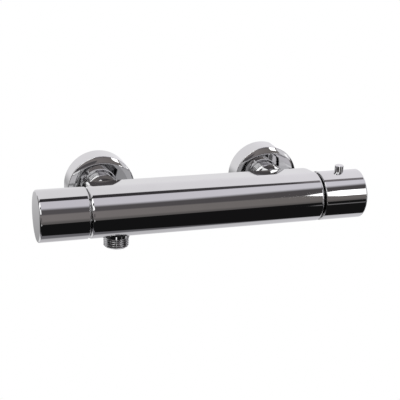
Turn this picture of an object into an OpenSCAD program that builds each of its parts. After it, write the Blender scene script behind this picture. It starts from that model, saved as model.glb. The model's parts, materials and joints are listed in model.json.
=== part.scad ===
// Thermostatic bar shower valve: a chromed bar fed by two wall supplies, with the flow
// handle on its left, the temperature handle on its right and a threaded hose outlet below.
// X runs along the bar towards the temperature handle, Y runs into the wall and Z is up.
// The origin is on the wall, midway between the supplies, at the height of the bar's axis.

/* [Bar] */
// Distance between the two supplies
supply_centres = 150; // [144:1:156]
// Diameter of the bar and of both handles
bar_d = 42; // [41:0.5:46]
// How far the body reaches past each supply
body_end = 24; // [23:0.5:28]
// Distance from the wall to the axis of the bar
axis_to_wall = 73; // [72:0.5:80]
// Rounding of the edges round the body's two ends
body_rim_r = 2.4; // [0.6:0.1:2.6]
// Depth of the body behind its axis
rear_depth = 22.4; // [22:0.1:25]
// Slope of the body's flanks towards its rear face, in degrees
flank_slope = 6; // [3:0.5:8]
// Radius of the long edges of the rear face
rear_edge_r = 3; // [2:0.5:4]
// Radius of the rear block's two ends, seen from above
rear_end_r = 8; // [4:1:12]
// Diameter of the boss behind each supply
boss_d = 30; // [28:0.5:31]
// How far each boss stands behind the rear face
boss_proud = 5.6; // [5:0.2:7]

/* [Handles] */
// Length of the flow handle
flow_handle_len = 39.6; // [37:0.2:46]
// Length of the temperature handle
temp_handle_len = 38; // [38:0.2:46]
// Seam between the body and the flow handle
flow_gap = 1; // [0.6:0.1:1.4]
// Seam between the body and the temperature handle
temp_gap = 1.4; // [0.8:0.1:2]
// Wall of each handle's skirt
handle_wall = 2.4; // [1.8:0.2:3]
// Thickness of each handle's end
handle_end = 3; // [2:0.5:4]
// Rounding of the edge round each handle's end
handle_edge_r = 1.6; // [0.6:0.1:2.6]
// Rounding of each handle's rim at its seam
rim_r = 0.6; // [0.3:0.1:1]
// Diameter of the splined hub inside each handle
hub_d = 13; // [12:0.5:14]
// Diameter of the grub screw that clamps each handle
grub_d = 4; // [3:0.5:5]
// Length of that grub screw
grub_len = 5; // [4:0.5:6]

/* [Override button] */
// Diameter of the button's post
button_d = 7.6; // [6.6:0.2:8]
// How far the post stands out of the handle
button_proud = 5.2; // [4:0.2:6]
// How far the button can be pressed in
button_travel = 3; // [2.4:0.1:3.2]
// Diameter of the post's thin stem
stem_d = 4; // [3:0.2:4.4]
// Diameter of the catch at the stem's inner end
catch_d = 8.4; // [8:0.1:8.8]
// Thickness of the catch
catch_t = 1.4; // [1:0.1:1.6]

/* [Hose outlet] */
// Outside diameter of the outlet's half-inch thread
outlet_thread_d = 20.955; // [20.6:0.005:21]
// How far the outlet stands below the bar
outlet_drop = 8.8; // [7:0.2:12]
// Diameter of the outlet's waterway
outlet_bore_d = 15; // [13:0.5:16]

/* [Escutcheons] */
// Diameter of each escutcheon
rose_d = 58; // [56:0.5:62]
// How far its flat face stands off the wall
rose_depth = 19.6; // [18.8:0.2:22]
// Diameter of the flat middle of the face
rose_flat_d = 43.6; // [40:0.4:47]
// Radius of the shoulder that falls from the flat middle to the edge
rose_shoulder_r = 17.5; // [15:0.5:22]
// Rounding of the edge between the shoulder and the side
rose_edge_r = 0.8; // [0.4:0.1:1.6]
// Thickness of the pressed brass
rose_wall = 1; // [0.8:0.1:1.2]

/* [Wall unions] */
// Outside diameter of the union's three-quarter-inch thread
union_thread_d = 26.44; // [26:0.01:26.6]
// Outside diameter of the half-inch thread that goes into the wall
wall_thread_d = 20.955; // [20.6:0.005:21]
// Length of the half-inch thread
wall_thread_len = 14.5; // [13:0.5:18]
// How far the half-inch thread reaches into the wall
wall_reach = 12; // [10:0.5:14]
// How far the wall end is set above the valve end
eccentricity = 7.5; // [5:0.5:9]
// Diameter of the union's waterway
union_bore_d = 15; // [13:0.5:16]
// Outside diameter of the round union nut
nut_d = 31; // [30:0.5:33]
// Distance across the nut's two spanner flats
nut_flats = 29; // [28.6:0.1:29.6]
// Length of the nut's threaded part
nut_thread_len = 11; // [10:0.5:15]

/* [Inlet nipples and check valves] */
// Outside diameter of the nipple's shank
nipple_d = 20.4; // [20:0.1:21]
// Outside diameter of the collar that holds the nut
nipple_collar_d = 24.8; // [24.4:0.1:25.2]
// Thickness of the filter washer
washer_t = 2; // [1.6:0.2:3]
// Outside diameter of the check valve's housing
check_d = 15.9; // [15:0.1:16.4]
// Length of the check valve's housing
check_len = 13; // [12:0.5:13.5]
// How far the check valve's poppet opens
check_travel = 2.5; // [1.5:0.1:2.8]

/* [Flow headwork] */
// Diameter of the headwork's chamber
flow_chamber_d = 24; // [23.6:0.1:24.4]
// Depth of the chamber from the body's end
flow_depth = 37; // [36:0.5:40]
// Diameter of the two ceramic discs
disc_d = 18.6; // [18:0.1:18.8]
// Thickness of each ceramic disc
disc_t = 3.5; // [3:0.1:3.6]

/* [Thermostat] */
// Diameter of the cartridge's chamber
thermo_chamber_d = 28; // [27.6:0.1:28.2]
// Depth of the chamber from the body's end
thermo_depth = 63; // [62:0.5:66]
// Wall of the cartridge's sleeve round the mixing shuttle
sleeve_wall = 3.5; // [3.4:0.1:3.8]
// Length of the mixing shuttle
shuttle_len = 11; // [10:0.2:11.6]
// Diameter of the wax capsule
capsule_d = 9; // [8:0.2:10]
// Turn from the 38 degree stop down to fully cold, in degrees
cold_turn = 205; // [180:5:225]

/* [Spindles] */
// Diameter of both handle spindles
spindle_d = 8; // [7.6:0.1:8.4]
// Teeth round each spindle's spline
spline_teeth = 20; // [16:1:24]
// Height of the spline's teeth
spline_tooth = 0.4; // [0.3:0.05:0.5]

/* [Hidden] */
$fn = 96;

// Overrun of a cut past the face that it opens
over = 0.5;
// Radial clearance of a shaft or a piston that runs in a bore
run = 0.05;
// Clearance between two pieces that stay fixed to each other
seat = 0.05;
// Gap between a moving face and a fixed face that it passes
pass = 0.3;
// Chamfer on the edges of turned pieces
edge = 0.5;

bar_r = bar_d / 2;
body_len = supply_centres + 2 * body_end;
body_half = body_len / 2;
right = supply_centres / 2;
left = -right;

// Body: spigots under the handles' skirts, rear block, bosses, sockets and galleries
skirt_r = bar_r - handle_wall;
spigot_len = 4;
spigot_clear = 0.4;
spigot_r = skirt_r - spigot_clear;
tangent_y = bar_r * sin(flank_slope);
tangent_z = bar_r * cos(flank_slope);
block_half = body_half - body_rim_r;
rear_edge_y = rear_depth - rear_edge_r;
rear_edge_z = (bar_r - rear_edge_r - rear_edge_y * sin(flank_slope)) / cos(flank_slope);
boss_r = boss_d / 2;
boss_end = rear_depth + boss_proud;
socket_depth = 9;
socket_floor = boss_end - socket_depth;
supply_hole_r = 4;
gallery_r = 3;
gallery_spread = 5;
gallery_wall = 1.7;
gallery_y = rear_depth - gallery_wall - gallery_r;
cross_hole_r = 2.6;
mixed_r = 6;
core_r = 12;
core_wall = 4;

// Inlet stack along each supply, measured from the bar's axis towards the wall
nipple_r = nipple_d / 2;
nipple_gap = 2.5;
nipple_start = socket_floor + nipple_gap;
nipple_stop = 1.9;
nipple_stop_r = 6.2;
check_start = nipple_start + nipple_stop;
nipple_end = check_start + check_len + edge;
collar_r = nipple_collar_d / 2;
collar_t = 3;
collar_start = nipple_end - collar_t;
union_start = nipple_end + washer_t;
union_r = union_thread_d / 2;
nut_r = nut_d / 2;
nut_lip_r = nipple_r + pass;
nut_lip_t = 4;
nut_start = collar_start - nut_lip_t;
nut_end = collar_start + nut_thread_len;
nut_flat_start = nut_start + edge;
nut_flat_len = 8;

// Eccentric union, measured from the bar's axis
union_bore_r = union_bore_d / 2;
lobe_wall = 4.5;
lobe_r = union_bore_r + lobe_wall;
lobe_len = 7;
lobe_to_wall = 7.8;
lobe_end = axis_to_wall - lobe_to_wall;
lobe_start = lobe_end - lobe_len;
lobe_floor = 2;
wall_thread_r = wall_thread_d / 2;
thread_relief = 0.9;
wall_end = axis_to_wall + wall_reach;
wall_thread_start = wall_end - wall_thread_len;

// Escutcheon, measured from the wall
rose_r = rose_d / 2;
rose_flat_r = rose_flat_d / 2;
rose_shoulder_h = rose_depth - rose_shoulder_r;
rose_edge_x = rose_r - rose_edge_r;
rose_edge_h = rose_shoulder_h
    + sqrt(pow(rose_shoulder_r - rose_edge_r, 2) - pow(rose_edge_x - rose_flat_r, 2));
rose_hole_r = union_r + seat;
rose_collar_t = 1.8;
rose_collar_len = rose_depth + lobe_start - axis_to_wall - pass;

// Check valve, measured from the bar's axis
check_r = check_d / 2;
check_bore_r = check_r + seat;
check_wall = 1.6;
check_seat_t = 2.2;
check_seat_r = 4.2;
check_hub_t = 2;
check_hub_r = 2.5;
check_rib = 1.2;
check_ribs = 3;
check_end = check_start + check_len;
poppet_r = 5.4;
poppet_t = 1.4;
poppet_nose = 0.8;
poppet_face = check_end - check_seat_t - seat;
poppet_stem_r = 1.2;
poppet_tip = 1;
check_coil_r = 2.2;
check_coil_turns = 5;
check_wire_r = 0.25;

// Filter washer
filter_mesh_t = 0.4;
filter_open_r = 8.2;
filter_hole_r = 0.9;
filter_pitch = 2.6;
filter_rings = 2;

// Hose outlet, measured down from the bar's axis
outlet_r = outlet_thread_d / 2;
outlet_bore_r = outlet_bore_d / 2;
outlet_end = bar_r + outlet_drop;
outlet_collar_t = 2.2;
outlet_gasket_t = 0.8;
outlet_collar_start = bar_r - outlet_collar_t;
outlet_seat = outlet_collar_start - outlet_gasket_t;
outlet_collar_r = outlet_r + edge;
outlet_shank_wall = 1.6;
outlet_shank_r = outlet_bore_r + outlet_shank_wall;
outlet_shank_len = 3.8;
outlet_shank_start = outlet_seat - outlet_shank_len;
outlet_hole_r = 6.4;

// O-rings
oring_r = 0.95;
oring_land = 2.4;
spindle_oring_r = 0.55;
spindle_oring_land = 1.4;

// Spindles and their splines, and the grub screws that clamp the handles on them
spindle_r = spindle_d / 2;
spline_r = spindle_r - seat;
spline_root_r = spline_r - spline_tooth;
spline_shares = [0.2, 0.35, 0.65, 0.8];
full_turn = 360;
half_turn = full_turn / 2;
hub_r = hub_d / 2;
grub_r = grub_d / 2;
grub_key_d = 2.3;
grub_key_depth = 2;
grub_boss_wall = 2;
grub_boss_r = grub_r + grub_boss_wall;
grub_access_clear = 0.3;

// Flow headwork, measured out from the body's end
flow_r = flow_chamber_d / 2;
seal_t = 3;
seal_wall = 2.6;
disc_r = disc_d / 2;
fixed_start = seal_t - flow_depth;
fixed_end = fixed_start + disc_t;
turning_start = fixed_end + seat;
turning_end = turning_start + disc_t;
port_in = 2.8;
port_out = 7.2;
port_angle = 80;
tab_w = 3;
tab_cover = 1;
head_start = fixed_start + tab_cover;
head_ring_t = 1.3;
head_cavity_r = disc_r + pass;
head_slim_r = head_cavity_r + head_ring_t;
head_land = 19;
head_slim_end = spigot_len - head_land;
head_groove = 12;
water_len = 9;
water_end = turning_end + water_len;
water_r = 8;
side_port_r = 2.6;
side_port_z = turning_end + water_len / 2;
tongue_w = 3;
tongue_t = 1.8;
tongue_half = 6.5;
tongue_rise = 3;
thrust_r = 6.5;
thrust_t = 2;
head_hex_d = 31;
head_hex_t = 3.5;
head_nose_r = 7;
head_nose_len = 5.5;
head_hex_end = spigot_len + head_hex_t;
head_nose_end = head_hex_end + head_nose_len;
clip_t = 0.8;
clip_depth = 0.6;
clip_wall = 2.2;
clip_opening = 50;
clip_start = head_nose_end + pass;
clip_end = clip_start + clip_t;
flow_spline_start = clip_end + edge;
flow_floor = flow_gap + flow_handle_len - handle_end;
spline_gap = 2;
flow_spline_end = flow_floor - spline_gap;
flow_hub_start = flow_spline_start + edge;

// Thermostat, measured out from the body's end
thermo_r = thermo_chamber_d / 2;
sleeve_r = thermo_r - seat;
sleeve_start = -thermo_depth;
thermo_head_in = 9;
sleeve_end = -thermo_head_in;
sleeve_floor_t = 3;
recess_depth = 1.35;
recess_r = sleeve_r - recess_depth;
hot_recess_from = 9;
hot_recess_to = 18.5;
cold_recess_from = 26;
cold_recess_to = 44.5;
ring_margin = 4;
ring_places = [
    sleeve_start + hot_recess_from - ring_margin,
    sleeve_start + (hot_recess_to + cold_recess_from) / 2,
    sleeve_start + cold_recess_to + ring_margin
];
hot_window_from = 11.5;
cold_window_from = 27.5;
window_len = 6;
window_w = 7;
window_count = 6;
shuttle_bore_r = thermo_r - sleeve_wall;
shuttle_mid = sleeve_start + (hot_window_from + window_len + cold_window_from) / 2;
shuttle_start = shuttle_mid - shuttle_len / 2;
shuttle_end = shuttle_start + shuttle_len;
shuttle_r = shuttle_bore_r - run;
shuttle_wall = 1.9;
web_inset = 3.6;
web_t = 2.4;
web_start = shuttle_start + web_inset;
web_end = web_start + web_t;
web_hole_r = 1.4;
capsule_neck_r = 3;
web_hole_ring = (capsule_neck_r + shuttle_r - shuttle_wall) / 2;
web_holes = 6;
capsule_r = capsule_d / 2;
capsule_len = 13.5;
capsule_neck_len = 3.4;
capsule_pin_r = 1.4;
thread_r = 4.5;
adjust_gap = 2;
adjust_len = 12;
adjust_floor = 3;
adjust_end = sleeve_end - adjust_gap;
adjust_start = adjust_end - adjust_len;
key_w = 3;
key_h = 0.9;
keyway_len = 17;
thread_start = adjust_start + adjust_floor + spline_gap;
flange_cavity_r = 7.8;
flange_cavity_len = 4;
flange_r = flange_cavity_r - pass;
flange_start = sleeve_end + pass;
flange_end = sleeve_end + flange_cavity_len - pass;
head_rim_t = 5;
head_rim_end = sleeve_end + head_rim_t;
ring_nut_wall = 2.5;
thermo_head_r = thermo_r - ring_nut_wall - seat;
thermo_nose_r = 8;
thermo_nose_len = 7;
thermo_nose_end = spigot_len + thermo_nose_len;
nut_notch = 3;
nut_notch_depth = 1.6;
nut_notches = 4;
coil_wire_r = 0.65;
coil_clear = 0.7;
coil_r = shuttle_r - shuttle_wall - coil_clear - coil_wire_r;
coil_turns = 7;

// Button, guide and stop ring; heights are measured from the bar's axis
button_r = button_d / 2;
button_z = temp_gap + temp_handle_len / 2;
stem_r = stem_d / 2;
catch_r = catch_d / 2;
guide_end = 9.6;
guide_floor = 1.4;
guide_wall = 1.6;
guide_r = button_r + guide_wall;
button_coil_solid = 3;
post_start = guide_end + guide_floor + button_coil_solid + button_travel;
post_end = bar_r + button_proud;
catch_top = guide_end - seat;
catch_low = catch_top - catch_t;
button_wire_r = 0.3;
button_coil_r = (stem_r + button_r) / 2;
button_coil_turns = 5;
stop_ring_gap = 1;
stop_ring_start = spigot_len + stop_ring_gap;
stop_ring_wall = 4;
stop_ring_r = thermo_nose_r + stop_ring_wall;
stop_plate_t = 2;
stop_plate_end = thermo_nose_end + stop_plate_t;
stop_hole_r = 5.5;
finger_r = guide_end - pass;
finger_end = button_z - stem_r - pass;
catch_chord = sqrt(pow(catch_r, 2) - pow(stem_r + pass, 2));
finger_in = sqrt(pow(catch_top - button_travel, 2) + pow(catch_chord, 2)) + pass;
temp_spline_start = stop_plate_end + 2 * edge;
temp_floor = temp_gap + temp_handle_len - handle_end;
temp_spline_end = temp_floor - spline_gap;
temp_hub_start = button_z + catch_r + pass;

// Helical springs: rings of the swept wire in each turn, and sides of each ring
rings_per_turn = 8;
wire_sides = 6;

// Frames: on the bar's axis, out of either end of the body, along a supply, down the
// outlet, and out of the wall behind an escutcheon
module on_bar() translate([0, -axis_to_wall, 0]) children();
module flow_side() on_bar() translate([-body_half, 0, 0]) rotate([0, -90, 0]) children();
module temp_side() on_bar() translate([body_half, 0, 0]) rotate([0, 90, 0]) children();
module supply(x) on_bar() translate([x, 0, 0]) rotate([-90, 0, 0]) children();
module outlet_side() on_bar() translate([left, 0, 0]) rotate([180, 0, 0]) children();
module off_wall(x) translate([x, 0, 0]) rotate([90, 0, 0]) children();

// Round bar between two heights
module rod(r, from, to) translate([0, 0, from]) cylinder(r = r, h = to - from);

// Round bar with both its edges chamfered
module turned_rod(r, from, to, c = edge) rotate_extrude() polygon([
    [0, from], [r - c, from], [r, from + c], [r, to - c], [r - c, to], [0, to]
]);

// Round bar with both its edges rounded
module rounded_rod(r, from, to, round_r) rotate_extrude() {
    translate([0, from]) square([r - round_r, to - from]);
    translate([0, from + round_r]) square([r, to - from - 2 * round_r]);
    for (h = [from + round_r, to - round_r]) translate([r - round_r, h]) circle(round_r);
}

// Tube between two heights
module tube(r_out, r_in, from, to) difference() {
    rod(r_out, from, to);
    rod(r_in, from - over, to + over);
}

// Rubber ring of round section lying in a plane
module o_ring(mean_r, wire_r, height) translate([0, 0, height])
    rotate_extrude() translate([mean_r, 0]) circle(wire_r);

// Slice of a disc between two angles
module sector(r_in, r_out, from, to) {
    steps = 4;
    reach = 2 * r_out;
    intersection() {
        difference() {
            circle(r_out);
            circle(r_in);
        }
        polygon([
            [0, 0],
            for (i = [0:steps]) let (a = from + (to - from) * i / steps) [reach * cos(a), reach * sin(a)]
        ]);
    }
}

// Toothed outline of a spline, grown all round by a clearance
module spline_outline(grow = 0) polygon([
    for (i = [0:spline_teeth - 1], k = [0:3])
        let (a = 360 * (i + spline_shares[k]) / spline_teeth)
        let (r = grow + (k == 0 || k == 3 ? spline_root_r : spline_r))
        [r * cos(a), r * sin(a)]
]);

// Helical spring of round wire standing between two heights
module coil_spring(mean_r, wire_r, from, to, turns) {
    rings = turns * rings_per_turn;
    rise = to - from - 2 * (wire_r + seat);
    points = [
        for (i = [0:rings], j = [0:wire_sides - 1])
            let (a = 360 * i / rings_per_turn, b = 360 * j / wire_sides)
            let (r = mean_r + wire_r * cos(b))
            [r * cos(a), r * sin(a), from + seat + wire_r + rise * i / rings + wire_r * sin(b)]
    ];
    side = [
        for (i = [0:rings - 1], j = [0:wire_sides - 1])
            let (a = i * wire_sides + j, b = i * wire_sides + (j + 1) % wire_sides)
            each [[a, a + wire_sides, b], [b, a + wire_sides, b + wire_sides]]
    ];
    last = rings * wire_sides;
    caps = [
        for (j = [1:wire_sides - 2])
            each [[0, j, j + 1], [last, last + j + 1, last + j]]
    ];
    echo(spring_gap_between_turns = rise / turns - 2 * wire_r);
    polyhedron(points, concat(side, caps));
}

// Body

module body_section() {
    circle(bar_r);
    for (s = [-1, 1]) translate([s * rear_edge_z, rear_edge_y]) circle(rear_edge_r);
    polygon([
        for (s = [-1, 1]) each let (p = [
            [-tangent_z, tangent_y],
            [-rear_edge_z - rear_edge_r * cos(flank_slope), rear_edge_y + rear_edge_r * sin(flank_slope)],
            [-rear_edge_z, rear_depth]
        ]) s < 0 ? p : [for (i = [2:-1:0]) [-p[i][0], p[i][1]]]
    ]);
}

module rear_block_plan() {
    translate([-block_half, 0]) square([2 * block_half, rear_depth - rear_end_r]);
    translate([rear_end_r - block_half, 0]) square([2 * (block_half - rear_end_r), rear_depth]);
    for (s = [-1, 1])
        translate([s * (block_half - rear_end_r), rear_depth - rear_end_r]) circle(rear_end_r);
}

module body_skin() {
    temp_side() rounded_rod(bar_r, -body_len, 0, body_rim_r);
    temp_side() rod(spigot_r, -spigot_len, spigot_len);
    flow_side() rod(spigot_r, -spigot_len, spigot_len);
    intersection() {
        temp_side() translate([0, 0, -body_len]) linear_extrude(body_len) body_section();
        on_bar() translate([0, 0, -bar_r]) linear_extrude(bar_d) rear_block_plan();
    }
    for (x = [left, right]) supply(x) rod(boss_r, gallery_y, boss_end);
}

module hot_gallery() {
    cross_mid = (hot_recess_from + hot_recess_to) / 2;
    cross_x = body_half - thermo_depth + cross_mid;
    gallery_len = cross_x + cross_hole_r - left;
    on_bar() translate([left, gallery_y, 0]) rotate([0, 90, 0]) linear_extrude(gallery_len) {
        square([2 * gallery_spread, 2 * gallery_r], center = true);
        for (s = [-1, 1]) translate([s * gallery_spread, 0]) circle(gallery_r);
    }
    for (s = [-1, 1])
        supply(cross_x) translate([0, s * gallery_spread, 0]) rod(cross_hole_r, thermo_r / 2, gallery_y);
}

module valve_body() color("silver") difference() {
    body_skin();
    flow_side() rod(flow_r, -flow_depth, spigot_len + over);
    temp_side() rod(thermo_r, -thermo_depth, spigot_len + over);
    temp_side() rod(mixed_r, flow_depth - body_len - over, over - thermo_depth);
    temp_side() rod(core_r, flow_depth - body_len + core_wall, -thermo_depth - core_wall);
    hot_gallery();
    for (x = [left, right]) supply(x) rod(nipple_r + seat, socket_floor, boss_end + over);
    supply(left) rod(supply_hole_r, gallery_y, socket_floor + over);
    supply(right) rod(supply_hole_r, thermo_r / 2, socket_floor + over);
    outlet_side() {
        rod(outlet_hole_r, 0, outlet_shank_start + over);
        rod(outlet_shank_r + seat, outlet_shank_start - edge, outlet_seat + over);
        rod(outlet_collar_r + seat, outlet_seat, bar_r + over);
    }
}

module outlet_nipple() color("silver") outlet_side() difference() {
    union() {
        rod(outlet_shank_r, outlet_shank_start, outlet_collar_start + over);
        rod(outlet_collar_r, outlet_collar_start, bar_r);
        turned_rod(outlet_r, outlet_collar_start, outlet_end);
    }
    rod(outlet_bore_r, outlet_shank_start - over, outlet_end + over);
}

module outlet_gasket() color("dimgray") outlet_side()
    tube(outlet_collar_r, outlet_shank_r + seat, outlet_seat + seat, outlet_collar_start - seat);

// Supply pieces

module inlet_nipple(x) color("goldenrod") supply(x) difference() {
    union() {
        rod(nipple_r, nipple_start, nipple_end);
        turned_rod(collar_r, collar_start, nipple_end);
    }
    rod(nipple_stop_r, nipple_start - over, nipple_end);
    rod(check_bore_r, check_start, nipple_end + over);
}

module union_nut(x) color("silver") supply(x) difference() {
    turned_rod(nut_r, nut_start, nut_end);
    rod(nut_lip_r, nut_start - over, nut_end);
    rod(union_r + seat, collar_start - seat, nut_end + over);
    for (s = [-1, 1]) translate([s * nut_flats / 2 - (s < 0 ? nut_r : 0), -nut_r, nut_flat_start])
        cube([nut_r, nut_d, nut_flat_len]);
}

module filter_washer(x) color("dimgray") supply(x) {
    mid = nipple_end + washer_t / 2;
    tube(collar_r, filter_open_r, nipple_end + seat, union_start - seat);
    difference() {
        rod(filter_open_r + edge, mid - filter_mesh_t / 2, mid + filter_mesh_t / 2);
        rod(filter_hole_r, nipple_end, union_start);
        for (ring = [1:filter_rings], i = [0:6 * ring - 1]) rotate(60 * i / ring)
            translate([ring * filter_pitch, 0, 0]) rod(filter_hole_r, nipple_end, union_start);
    }
}

module check_housing(x) color("white") supply(x) {
    tube(check_r, check_r - check_wall, check_start, check_end);
    tube(check_r - check_wall / 2, check_seat_r, check_end - check_seat_t, check_end);
    tube(check_hub_r, poppet_stem_r + run, check_start, check_start + check_hub_t);
    for (i = [0:check_ribs - 1]) rotate(360 * i / check_ribs)
        translate([check_hub_r - edge / 2, -check_rib / 2, check_start])
            cube([check_r - check_wall - check_hub_r + edge, check_rib, check_hub_t]);
}

module check_poppet(x) color("darkslategray") supply(x) rotate_extrude() polygon([
    [0, check_start + poppet_tip],
    [poppet_stem_r, check_start + poppet_tip],
    [poppet_stem_r, poppet_face - poppet_t],
    [poppet_r, poppet_face - poppet_t],
    [poppet_r, poppet_face],
    [check_seat_r - pass, poppet_face],
    [check_seat_r - pass - poppet_nose, poppet_face + poppet_nose],
    [0, poppet_face + poppet_nose]
]);

module check_spring(x) color("lightsteelblue") supply(x)
    coil_spring(check_coil_r, check_wire_r, check_start + check_hub_t, poppet_face - poppet_t,
        check_coil_turns);

module s_union(x) color("silver") supply(x) difference() {
    union() {
        turned_rod(union_r, union_start, lobe_start + over);
        translate([0, 0, lobe_start]) linear_extrude(lobe_len) {
            circle(lobe_r);
            translate([0, -eccentricity]) circle(lobe_r);
            translate([-lobe_r, -eccentricity]) square([2 * lobe_r, eccentricity]);
        }
        translate([0, -eccentricity, 0]) {
            rod(wall_thread_r - thread_relief, lobe_end - over, wall_thread_start + over);
            turned_rod(wall_thread_r, wall_thread_start, wall_end);
        }
    }
    rod(union_bore_r, union_start - over, lobe_end - lobe_floor);
    translate([0, -eccentricity, 0]) rod(union_bore_r, lobe_start + lobe_floor, wall_end + over);
}

// Bell outline of an escutcheon, from its axis: flat middle, shoulder, rounded edge and side
module bell() {
    square([rose_r, rose_edge_h]);
    square([rose_flat_r, rose_depth]);
    translate([rose_edge_x, rose_edge_h]) circle(rose_edge_r);
    intersection() {
        translate([rose_flat_r, rose_shoulder_h]) circle(rose_shoulder_r);
        polygon([
            [rose_flat_r, rose_shoulder_h],
            [2 * rose_edge_x - rose_flat_r, 2 * rose_edge_h - rose_shoulder_h],
            [rose_flat_r, 2 * rose_edge_h - rose_shoulder_h]
        ]);
    }
}

// Hollow of the bell, one wall in from its outline
module bell_hollow() intersection() {
    translate([0, -over]) square([rose_r - rose_wall, rose_depth - rose_wall + over]);
    union() {
        translate([0, -over]) square([rose_flat_r, rose_depth + over]);
        translate([0, -over]) square([rose_r, rose_edge_h / 2 + over]);
        translate([rose_flat_r, rose_shoulder_h]) circle(rose_shoulder_r - rose_wall);
    }
}

module escutcheon(x) color("silver") off_wall(x) rotate_extrude() {
    difference() {
        bell();
        bell_hollow();
        square([rose_hole_r, rose_depth + over]);
    }
    translate([rose_hole_r, rose_depth - rose_collar_len]) square([rose_collar_t, rose_collar_len]);
}

// Flow side

module flow_headwork() color("goldenrod") flow_side() difference() {
    union() {
        rod(head_slim_r, head_start, head_slim_end + over);
        rod(flow_r - seat, head_slim_end, spigot_len + over);
        translate([0, 0, spigot_len]) cylinder(d = head_hex_d, h = head_hex_t, $fn = 6);
        turned_rod(head_nose_r, head_hex_end - over, head_nose_end);
    }
    rod(head_cavity_r, head_start - over, turning_end + pass);
    rod(water_r, turning_end, water_end);
    rod(spindle_r + run, water_end - over, head_nose_end + over);
    for (a = [0, 90]) rotate(a) translate([0, 0, side_port_z]) rotate([90, 0, 0])
        rod(side_port_r, -flow_r, flow_r);
    for (a = [0, 180]) rotate(a) translate([0, -tab_w / 2 - seat, head_start - over])
        cube([flow_r, tab_w + 2 * seat, fixed_end - head_start + over]);
    translate([0, 0, head_slim_end + head_land - head_groove]) tube(flow_r,
        flow_r - 2 * (oring_r + seat), 0, oring_land);
    rod(spindle_r + run + 2 * spindle_oring_r + seat, spigot_len, spigot_len + spindle_oring_land);
}

module headwork_orings() color("dimgray") flow_side() {
    o_ring(flow_r - seat - oring_r, oring_r, head_slim_end + head_land - head_groove + oring_land / 2);
    o_ring(spindle_r + run + seat / 2 + spindle_oring_r, spindle_oring_r,
        spigot_len + spindle_oring_land / 2);
}

module flow_seal_ring() color("dimgray") flow_side()
    tube(mixed_r + seal_wall, mixed_r, seat - flow_depth, fixed_start - seat);

module ports(from, to, a) for (s = [0, 180]) translate([0, 0, from])
    linear_extrude(to - from) sector(port_in, port_out, a + s - port_angle / 2, a + s + port_angle / 2);

module fixed_disc() color("ghostwhite") flow_side() difference() {
    union() {
        rod(disc_r, fixed_start, fixed_end);
        translate([0, 0, head_start + seat]) intersection() {
            rod(head_slim_r, 0, fixed_end - head_start - seat);
            translate([-flow_r, -tab_w / 2, 0]) cube([2 * flow_r, tab_w, fixed_end - head_start - seat]);
        }
    }
    ports(fixed_start - over, fixed_end + over, 90);
}

module turning_disc() color("whitesmoke") flow_side() difference() {
    rod(disc_r, turning_start, turning_end);
    ports(turning_start - over, turning_end + over, 0);
    translate([-tongue_w / 2 - seat, -disc_r, turning_end - tongue_t - seat])
        cube([tongue_w + 2 * seat, 2 * disc_r, tongue_t + over]);
}

module flow_spindle() color("goldenrod") flow_side() {
    intersection() {
        rod(tongue_half, turning_end - tongue_t, turning_end + tongue_rise);
        translate([-tongue_w / 2, -disc_r, turning_end - tongue_t])
            cube([tongue_w, 2 * disc_r, tongue_t + tongue_rise]);
    }
    rod(thrust_r, water_end - pass - thrust_t, water_end - pass);
    rod(spindle_r, turning_end + tongue_rise - over, clip_start);
    rod(spindle_r - clip_depth, clip_start - over, clip_end + over);
    rod(spindle_r, clip_end, flow_spline_start);
    translate([0, 0, flow_spline_start]) linear_extrude(flow_spline_end - flow_spline_start) spline_outline();
}

module spindle_clip() color("slategray") flow_side() translate([0, 0, clip_start + seat])
    linear_extrude(clip_t - 2 * seat)
        sector(spindle_r - clip_depth + seat, spindle_r + clip_wall,
            clip_opening / 2, full_turn - clip_opening / 2);

// Handle shell from its mouth to its end, with the hub that grips the spindle
module handle_shell(mouth, length, hub_start) {
    end = mouth + length;
    round_r = handle_edge_r;
    rotate_extrude() difference() {
        union() {
            translate([0, mouth]) square([bar_r - max(rim_r, round_r), length]);
            translate([0, mouth]) square([bar_r - rim_r, length - round_r]);
            translate([0, mouth + rim_r]) square([bar_r, length - rim_r - round_r]);
            translate([bar_r - rim_r, mouth + rim_r]) circle(rim_r);
            translate([bar_r - round_r, end - round_r]) circle(round_r);
        }
        translate([0, mouth - over]) square([skirt_r, hub_start - mouth + over]);
        translate([hub_r, mouth - over]) square([skirt_r - hub_r, length - handle_end + over]);
    }
}

// Pillar between hub and skirt that carries the grub screw, below the spindle
module grub_frame(x) on_bar() translate([x, 0, 0]) rotate([180, 0, 0]) children();
module grub_pillar(x) grub_frame(x) rod(grub_boss_r, hub_r - edge, skirt_r + edge);
module grub_bore(x) grub_frame(x) {
    rod(grub_r + seat, 0, hub_r + grub_len);
    rod(grub_r + grub_access_clear, hub_r + grub_len - edge, bar_r + over);
}
module grub_screw(x) color("slategray") grub_frame(x) difference() {
    turned_rod(grub_r, spindle_r + seat, spindle_r + seat + grub_len);
    translate([0, 0, spindle_r + seat + grub_len - grub_key_depth])
        cylinder(d = grub_key_d, h = grub_key_depth + over, $fn = 6);
}

flow_grub_x = -body_half - (flow_hub_start + flow_floor) / 2;
temp_grub_x = body_half + (temp_hub_start + temp_floor) / 2;

module flow_handle() color("silver") difference() {
    union() {
        flow_side() handle_shell(flow_gap, flow_handle_len, flow_hub_start);
        grub_pillar(flow_grub_x);
    }
    flow_side() translate([0, 0, flow_hub_start - over])
        linear_extrude(flow_floor - flow_hub_start + over) spline_outline(seat);
    grub_bore(flow_grub_x);
}

// Temperature side

module windows(from) for (i = [0:window_count - 1]) rotate(360 * i / window_count)
    translate([0, -window_w / 2, sleeve_start + from]) cube([thermo_r, window_w, window_len]);

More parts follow.
